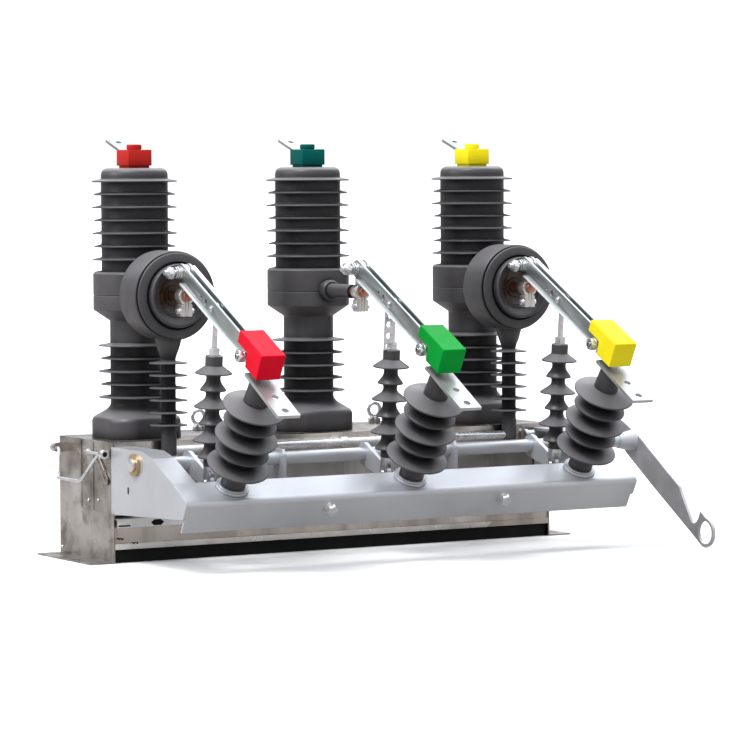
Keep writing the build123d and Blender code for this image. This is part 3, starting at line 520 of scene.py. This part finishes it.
OUTLET = 505.0
DRUM = rounded(
    [(0, 60), (30, 60), (30, 96), (78, 96), (84.5, 101), (84.5, 166), (82.6, 168), (78, 168), (78, 172),
     (81, 172.2), (81, 174.2), (79.4, 175.6), (64.5, 178.4), (63.4, 175), (60.2, 175), (60.2, 189),
     (58.4, 190.8), (55, 190.6), (44.5, 181.5), (43, 176), (37, 174.6), (34, 165)],
    [1, 2, 4, 4, 0.6, 0.6, 0.4, 0.4, 0.5, 0.6, 0.9, 0.5, 0.4, 0.4, 1.2, 1.2, 1.5, 1.2, 1.0, 1.0], 4)
MOUTH_INSIDE = [(36, 166), (33, 163), (20, 160.5), (19, 162), (12, 162), (12, 164), (0, 164)]
LEG_Y = -137
LEG = np.vstack([
    [(0, 430), (27.5, 440), (26.5, 425), (21, 404), (15.5, 390), (14, 384)],
    sheds(14.0, 6, 376.7, 23.5, 36.0, 36.0, 4.6, 1.6, 1.1),
    [(14.0, 242), (14.8, 239), (14.8, 204), (13.5, 202), (0, 202)],
])
LEG_EASING = np.concatenate([[3, 4, 9, 6, 3], shed_easing(6, 2.5, 0.9), [2, 1, 1, 1]])
for phase in ("left", "right"):
    x = PHASES[phase]
    drum = turned(DRUM, (x, 0, OUTLET), -Y_AXIS, 128)
    leg = turned(rounded(LEG, LEG_EASING, 4), (x, LEG_Y, 0), Z_AXIS, 56)
    piece(f"transformer_skin_{phase}", "frame", EPOXY, [drum, leg], [f"current_transformer_{phase}"])
    mouth = turned(MOUTH_INSIDE, (x, 0, OUTLET), -Y_AXIS, 64)
    piece(f"transformer_mouth_{phase}", "frame", MOUTH, mouth)

TILT = math.radians(30)
POST_AXIS = unit((0, -math.sin(TILT), math.cos(TILT)))
POST_OUT = unit((0, -math.cos(TILT), -math.sin(TILT)))
POST_FOOT = np.array([0, -391.0, 159.0])
POST = rounded(np.vstack([
    [(0, 229), (19.5, 229), (21, 226), (22, 205), (23, 190)],
    sheds(23.0, 5, 174.4, 31.5, 58.5, 50.0, 12.0, 3.0, 1.6),
    [(23.0, 30), (23.5, 7.5), (0, 7.5)],
]), np.concatenate([[1, 2, 3, 5], shed_easing(5, 6.0, 1.3), [3, 1]]), 5)
for phase, x in PHASES.items():
    foot = POST_FOOT + x * X_AXIS
    skin = turned(POST, foot, POST_AXIS, 88)
    piece(f"post_skin_{phase}", "frame", SILICONE, skin, [f"post_insulator_{phase}"])
    ring = [disc(foot, POST_AXIS, 31.5, 22.0, 5.5, 1.6, 72),
            disc(foot + 5 * POST_AXIS, POST_AXIS, 28.0, 22.0, 3.0, 1.2, 72)]
    for turn in (200, 320, 80):
        a = math.radians(turn)
        side = math.cos(a) * X_AXIS + math.sin(a) * POST_OUT
        ring.append(disc(foot + 5.4 * POST_AXIS + 27.6 * side, POST_AXIS, 1.9, 0, 0.8, 0.3, 16))
    piece(f"post_ring_{phase}", "frame", SILVER, ring)

CRANK_PIN = np.array([0, -303.0, 163.0])
DRIVE_PIN = np.array([0, -332.0, 485.2])
ROD = unit(DRIVE_PIN - CRANK_PIN)
DRIVE = rounded(np.vstack([
    [(0, 237), (14.8, 237), (16.3, 235.4), (16.3, 218)],
    sheds(13.4, 6, 204.0, 31.5, 34.5, 24.4, 16.0, 2.2, 1.2)[1:],
    [(13.4, 40), (13.4, 31), (12.4, 30), (0, 30)],
]), np.concatenate([[1, 1, 1], shed_easing(6, 9.0, 0.8)[1:], [1, 1, 1]]), 4)
for phase, x in PHASES.items():
    skin = turned(DRIVE, CRANK_PIN + x * X_AXIS, ROD, 64)
    piece(f"drive_skin_{phase}", f"drive_{phase}", SILICONE, skin, [f"drive_insulator_{phase}"])


# Blades, hinges and clamps

SLOPE = math.radians(27.6)
DOWN = np.array([0, -math.cos(SLOPE), -math.sin(SLOPE)])
UP = np.array([0, -math.sin(SLOPE), math.cos(SLOPE)])
PIVOT = np.array([0, -209.0, 549.5])
a = np.linspace(np.pi / 2, 3 * np.pi / 2, 19)
BAR = np.vstack([
    np.stack([17 * np.cos(a), 17 * np.sin(a)], 1),
    [(343, -17), (345, -15), (345, 15), (343, 17)],
])
BAR_HOLES = [circle((94, 0), 3.4), circle((114, 0), 6.0)]
# The bars' outer faces from the blade's middle; the drive pin and the tip bolt from its pivot
BAR_FACE = 10
DRIVE_AT, TIP_AT, TIP_SINK = 138.8, 307, 2
CLAMP_Y, CLAMP_BOLT_Z = -206.5, 477
SPRING_WIRE, SPRING_TURNS, SPRING_GAP = 1.3, 3.2, 1.2


def pin(radius, low, high, ease=0.0):
    """Outline of a round pin along its axis, its ends cut back by ease."""
    if not ease:
        return [(0, low), (radius, low), (radius, high), (0, high)]
    return [(0, low), (radius - ease, low), (radius, low + ease),
            (radius, high - ease), (radius - ease, high), (0, high)]


def stack(start, axis, sizes):
    """Washers, nuts and springs one after another along a bolt: (kind, radius, length) each."""
    shapes, at = [], 0.0
    for kind, radius, length in sizes:
        place = start + axis * at
        if kind == "spring":
            inner = length - 2 * SPRING_GAP
            shapes.append(coil(place + axis * SPRING_GAP, axis, radius, SPRING_WIRE, SPRING_TURNS, inner))
        elif kind == "nut":
            shapes.append(hexagon(place, axis, 2 * radius, length, 0.4))
        else:
            shapes.append(disc(place, axis, radius, 0, length, min(0.8, length / 3)))
        at += length
    return shapes


for phase, x in PHASES.items():
    pivot = PIVOT + x * X_AXIS
    bars = [plate(BAR, BAR_HOLES, 5, pivot + side * 7.5 * X_AXIS, DOWN, UP, 0.7) for side in (-1, 1)]
    piece(f"blade_bars_{phase}", f"blade_{phase}", TINNED, bars, [f"blade_{phase}"])
    # near-white strips along the bars' edges: painted highlight
    highlight_strips = [prism(rectangle(9.9, 15, low, low + 2.4), start, 343, pivot, side * X_AXIS, UP, DOWN)
            for side, low, start in ((-1, -17, 14), (1, 14.6, 4))]
    piece(f"blade_highlight_strips_{phase}", f"blade_{phase}", HIGHLIGHT_EDGE, highlight_strips, bevel=0.4)

    hardware = stack(pivot - BAR_FACE * X_AXIS, -X_AXIS, [
        ("disc", 12.5, 2.6), ("disc", 9, 3), ("disc", 12, 2.4), ("disc", 8, 2), ("disc", 11.5, 2.2),
        ("disc", 6, 4.6), ("nut", 11, 10), ("disc", 8.5, 2.5), ("disc", 5.4, 3)])
    hardware += stack(pivot + BAR_FACE * X_AXIS, X_AXIS, [("disc", 12, 2.4), ("nut", 10, 8)])
    hardware.append(turned(pin(5, -44, 17), pivot, X_AXIS, 28))
    drive = pivot + DRIVE_AT * DOWN
    hardware.append(turned(pin(4, -13.5, 13.5, 0.8), drive, X_AXIS, 24))
    for side in (-1, 1):
        hardware += stack(drive + side * BAR_FACE * X_AXIS, side * X_AXIS, [("disc", 7, 1.4)])
    tip = pivot + TIP_AT * DOWN - TIP_SINK * UP
    hardware += stack(tip - BAR_FACE * X_AXIS, -X_AXIS, [
        ("disc", 11, 3), ("spring", 6.8, 10), ("disc", 12, 3), ("nut", 11, 9), ("disc", 4, 3)])
    hardware.append(turned(pin(4, -38, 12), tip, X_AXIS, 24))
    hardware += stack(tip + BAR_FACE * X_AXIS, X_AXIS, [("nut", 7, 5)])
    piece(f"blade_hardware_{phase}", f"blade_{phase}", ZINC, hardware)

    ring = circle((0, 0), 16.0, 48)
    ring = ring[np.abs(np.arctan2(ring[:, 0], -ring[:, 1])) > 0.42]
    ring = ring[np.argsort(np.arctan2(ring[:, 0], ring[:, 1]))]
    legs = [(11.5, -16), (11.5, -37), (10.5, -38), (3, -38), (2.2, -37), (2.2, -10)]
    legs += [(-u, v) for u, v in legs[::-1]]
    clamp = plate(np.vstack([ring, legs]), [circle((0, 0), 9.6, 36)], 21, (x, CLAMP_Y, OUTLET),
                  X_AXIS, Z_AXIS, 1.2)
    top = np.linspace(0, np.pi, 15)
    lug = np.vstack([[(-15, 11), (15, 11)], np.stack([15 * np.cos(top), 44.5 + 15 * np.sin(top)], 1)])
    hinge = plate(lug, [], 9.4, (x, PIVOT[1], OUTLET), Y_AXIS, Z_AXIS, 0.8)
    piece(f"clamp_skin_{phase}", "frame", CLAMP, [clamp, hinge], [f"outlet_clamp_{phase}"])
    bolts = [shape for side in (-1, 1)
             for shape in bolt((x + side * 11.5, CLAMP_Y, CLAMP_BOLT_Z), side * X_AXIS, 6)]
    bolts.append(turned(pin(3.7, -14, 14), (x, CLAMP_Y, CLAMP_BOLT_Z), X_AXIS, 20))
    piece(f"clamp_bolts_{phase}", "frame", ZINC, bolts)
    start = 160 if phase != "middle" else 176
    stud = [(0, start), (9.5, start), (9.5, 221.5), (8.9, 223.4), (7.5, 224), (0, 224)]
    piece(f"stud_skin_{phase}", "frame", COPPER, turned(stud, (x, 0, OUTLET), -Y_AXIS, 40),
          ["outlet_studs"] if phase == "middle" else ())


# Frame bolts, lifting rings, the bail with its hinge, faces with painted highlight, and black sheets of
# painted shade in gaps and under the box

BEAM_FACE = np.array([0, -428.0, 137.0])
FACE_DOWN = np.array([0, math.sin(TILT), -math.cos(TILT)])
bolts = []
for x in (-188.0, 191.6):
    bolts += bolt(BEAM_FACE + x * X_AXIS + 26 * FACE_DOWN, POST_OUT, 13)
for x in (-468, 468):
    for z in (112.0, 196.0):
        bolts += bolt((x, -125.5, z), -Y_AXIS, 9)
bolts.append(disc((-497.5, -220, 194), -X_AXIS, 12.6, 0, 6, 1.0))
piece("frame_bolts", "frame", ZINC, bolts)

eyes = []
for x in (-200.0, 200.0):
    base = np.array([x, 88.0, 229.0])
    eyes += [hexagon(base, Z_AXIS, 23, 9, 0.2), disc(base + 9 * Z_AXIS, Z_AXIS, 9, 0, 4, 1.4)]
    eyes.append(torus(base + 26 * Z_AXIS, Y_AXIS, 13.2, 3.8))
piece("lifting_rings", "frame", ZINC, eyes, ["lifting_eyes"])

BAIL = [(-505, 104, 208), (-505, 84, 208), (-529, 40, 154),
        (-529, -60, 154), (-505, -92, 208), (-505, -116, 208)]
bail = rounded(BAIL, 9, 8)
spaced = np.concatenate([[0], np.cumsum(np.linalg.norm(np.diff(bail, axis=0), axis=1))])
even = np.linspace(0, spaced[-1], 160)
bail = np.stack([np.interp(even, spaced, bail[:, k]) for k in range(3)], 1)
piece("bail_wire", "bail", ZINC, tube(bail, 3.2), ["carrying_bail"])

RIVET = [(0, -0.5), (3.4, -0.5), (3.0, 0.6), (1.8, 1.4), (0, 1.7)]
rivets = [turned(RIVET, (-488, y, z), -X_AXIS, 20) for y, z in ((-8.6, 112.6), (-50.9, 115.8), (110, 14))]
piece("end_rivets", "frame", ZINC, rivets)

strap_along = unit((0, -40.5, -42.6))
strap = plate(slot_hole(74, 15), [slot_hole(50, 4.5)], 2.6, (-490.5, -72, 176), strap_along,
              np.cross(X_AXIS, strap_along), 0.5)
piece("end_strap", "frame", END_STEEL, strap)

HINGE_X, HINGE_Z = -505, 207.5
rod = tube([(-490, -14, 206), (-499, -22, 207), (HINGE_X, -50, HINGE_Z), (HINGE_X, -94, HINGE_Z)], 3.0)
knob = rounded([(0, 0), (5, 0), (6.5, 3), (5.5, 8), (0, 9)], 1.5, 4)
knob = turned(knob, (-488, -18.8, 205.9), -X_AXIS, 24)
hubs = [turned([(5, 0), (9, 0), (9, 10), (8, 11), (5, 11), (5, 0)], (HINGE_X, -107, HINGE_Z), -Y_AXIS, 28),
        turned([(0, 0), (8, 0), (8, 9), (5, 11), (0, 11)], (HINGE_X, 100, HINGE_Z), Y_AXIS, 28)]
piece("end_hinge", "frame", ZINC, [rod, knob, *hubs])

BOX_END = -484.6


def front_sheet(outline, holes, thick, y, ease=0.1):
    """Thin sheet that faces forward at a depth y, its outline in X and Z."""
    return plate(outline, holes, thick, (0, y, 0), X_AXIS, Z_AXIS, ease)


ledge = rectangle(BOX_END, -BOX_END, 68.5, 84)
long_hole = [(-415.5, 75.5), (-408, 81.4), (-394, 81.4), (-386.5, 75.5), (-394, 69.6), (-408, 69.6)]
# near-white sheet over the ledge's lip: painted highlight
piece("ledge_highlight_face", "frame", HIGHLIGHT_EDGE, front_sheet(ledge, [long_hole], 0.6, -128.9))
# black sheets in the long hole, the slits, the hinge hub, the arm's slot and the small holes: painted shade
# for the dark inside them
shade_gaps = [front_sheet(rectangle(-418, -384, 68, 83), [], 1, -124.7, 0.2),
        front_sheet([(-484, 70.4), (-458, 70.4), (-460, 73.4), (-484, 73.4)], [], 0.6, -129.3),
        front_sheet([(-484, 86.5), (-446, 86.5), (-448, 90.5), (-484, 90.5)], [], 0.6, -118.0),
        disc((HINGE_X, -108, HINGE_Z), -Y_AXIS, 5, 0, 8, 0.3, 24),
        plate(slot_hole(13, 4.5), [], 0.6, (-492.5, -189, 144), Z_AXIS, Y_AXIS, 0.1)]
for x, z in ((-477, 46.8), (-470, 46.0), (-446, 36.8), (-439, 36.8)):
    shade_gaps.append(disc((x, -117.6, z), -Y_AXIS, 2.0, 0, 0.8, 0.2, 16))
piece("painted_shade_gaps", "frame", SHADE_BLACK, shade_gaps)
# light sheet over the rail's front: painted highlight
rail = [(BOX_END, 26.2), (340, 26.2), (352, 36.8), (BOX_END, 36.8)]
piece("rail_highlight_face", "frame", RAIL_HIGHLIGHT, front_sheet(rail, [], 0.6, -117.9))
# black strips along the box's underside: painted shade for the dark gap between box and floor
shade_skirts = [prism(rectangle(y - 1, y + 1, 1.5, 27), -482, 482) for y in (-108, 108)]
piece("shade_skirts", "frame", SHADE_BLACK, shade_skirts)


# Floor, light and camera


def two_colours(nodes, links, bounced, seen):
    """A colour for light that has bounced, and another for rays straight from the camera."""
    path = nodes.new("ShaderNodeLightPath")
    paint = nodes.new("ShaderNodeMix")
    paint.data_type = "RGBA"
    paint.inputs[COLOUR_A].default_value = (*bounced, 1)
    paint.inputs[COLOUR_B].default_value = (*seen, 1)
    links.new(path.outputs["Is Camera Ray"], paint.inputs["Factor"])
    return paint.outputs[COLOUR_OUT]


FLOOR_HALF = 60
floor = bpy.data.meshes.new("floor")
floor.from_pydata([(x, y, 0) for x, y in rectangle(-FLOOR_HALF, FLOOR_HALF, -FLOOR_HALF, FLOOR_HALF)], [],
                  [(0, 1, 2, 3)])
floor_finish = bpy.data.materials.new("pale_floor")
floor_finish.use_nodes = True
tree = floor_finish.node_tree
shader = tree.nodes["Principled BSDF"]
tree.links.new(two_colours(tree.nodes, tree.links, (0.36, 0.345, 0.33), (0.90, 0.90, 0.90)),
               shader.inputs["Base Color"])
shader.inputs["Roughness"].default_value = 0.9
shader.inputs["Specular IOR Level"].default_value = 0.1
floor.materials.append(floor_finish)
ground = link("floor", floor)

world = bpy.data.worlds.new("studio")
bpy.context.scene.world = world
world.use_nodes = True
sky, wires = world.node_tree.nodes, world.node_tree.links
direction = sky.new("ShaderNodeTexCoord")


def ramp(value, start, end, low, high):
    """A number of the sky carried from one range to another."""
    node = sky.new("ShaderNodeMapRange")
    for key, number in (("From Min", start), ("From Max", end), ("To Min", low), ("To Max", high)):
        node.inputs[key].default_value = number
    wires.new(value, node.inputs["Value"])
    return node.outputs["Result"]


GLOW_TOWARD = (0.50, 0.42, 0.757)
parts = sky.new("ShaderNodeSeparateXYZ")
wires.new(direction.outputs["Generated"], parts.inputs["Vector"])
toward = sky.new("ShaderNodeVectorMath")
toward.operation = "DOT_PRODUCT"
toward.inputs[1].default_value = GLOW_TOWARD
wires.new(direction.outputs["Generated"], toward.inputs[0])
total = sky.new("ShaderNodeMath")
wires.new(ramp(parts.outputs["Z"], 0.0, 1.0, 0.28, 1.75), total.inputs[0])
wires.new(ramp(toward.outputs["Value"], 0.78, 0.98, 0.0, 1.5), total.inputs[1])
backdrop = sky.new("ShaderNodeLightPath")
strength = sky.new("ShaderNodeMix")
strength.inputs["B"].default_value = 1.05
wires.new(backdrop.outputs["Is Camera Ray"], strength.inputs["Factor"])
wires.new(total.outputs["Value"], strength.inputs["A"])
wires.new(two_colours(sky, wires, (0.965, 0.99, 1.04), (1.0, 1.0, 1.0)), sky["Background"].inputs["Color"])
wires.new(strength.outputs["Result"], sky["Background"].inputs["Strength"])

SUN_FROM = Vector((-0.50, -0.22, 0.84))
sun = bpy.data.lights.new("key", "SUN")
sun.energy = 2.0
sun.angle = math.radians(20)
key = link("key", sun)
key.rotation_mode = "QUATERNION"
key.rotation_quaternion = SUN_FROM.to_track_quat("Z", "Y")


def stand(obj, first, second, third, place):
    """Sets an object at a place, its own axes along three unit vectors."""
    rows = np.column_stack([first, second, third, place]).tolist()
    obj.matrix_world = Matrix([*rows, [0, 0, 0, 1]])


place, target = np.array([-2.6, 0.4, 1.6]), np.array([0, 0, 0.4])
soft_box = bpy.data.lights.new("left_box", "AREA")
soft_box.shape = "RECTANGLE"
soft_box.size, soft_box.size_y = 1.6, 1.2
soft_box.energy = 24
back = unit(place - target)
stand(link("left_box", soft_box), *square_frame(back, np.cross(Z_AXIS, back)), back, place)

EYE = np.array([-3548.93, -6369.32, 746.84]) * MM
ROLL = math.radians(-0.30)
SENSOR, FOCAL_PIXELS, PHOTO_PIXELS = 36, 3700, 730
forward = unit((0.49928, 0.86477, -0.05373))
right = unit(np.cross(forward, Z_AXIS))
above = np.cross(right, forward)
lens = bpy.data.cameras.new("camera")
lens.lens = FOCAL_PIXELS * SENSOR / PHOTO_PIXELS
lens.sensor_width = SENSOR
lens.clip_end = 200
camera = link("camera", lens)
stand(camera, math.cos(ROLL) * right + math.sin(ROLL) * above,
      math.cos(ROLL) * above - math.sin(ROLL) * right, -forward, EYE)
bpy.context.scene.camera = camera
bpy.context.scene.view_settings.view_transform = "Standard"
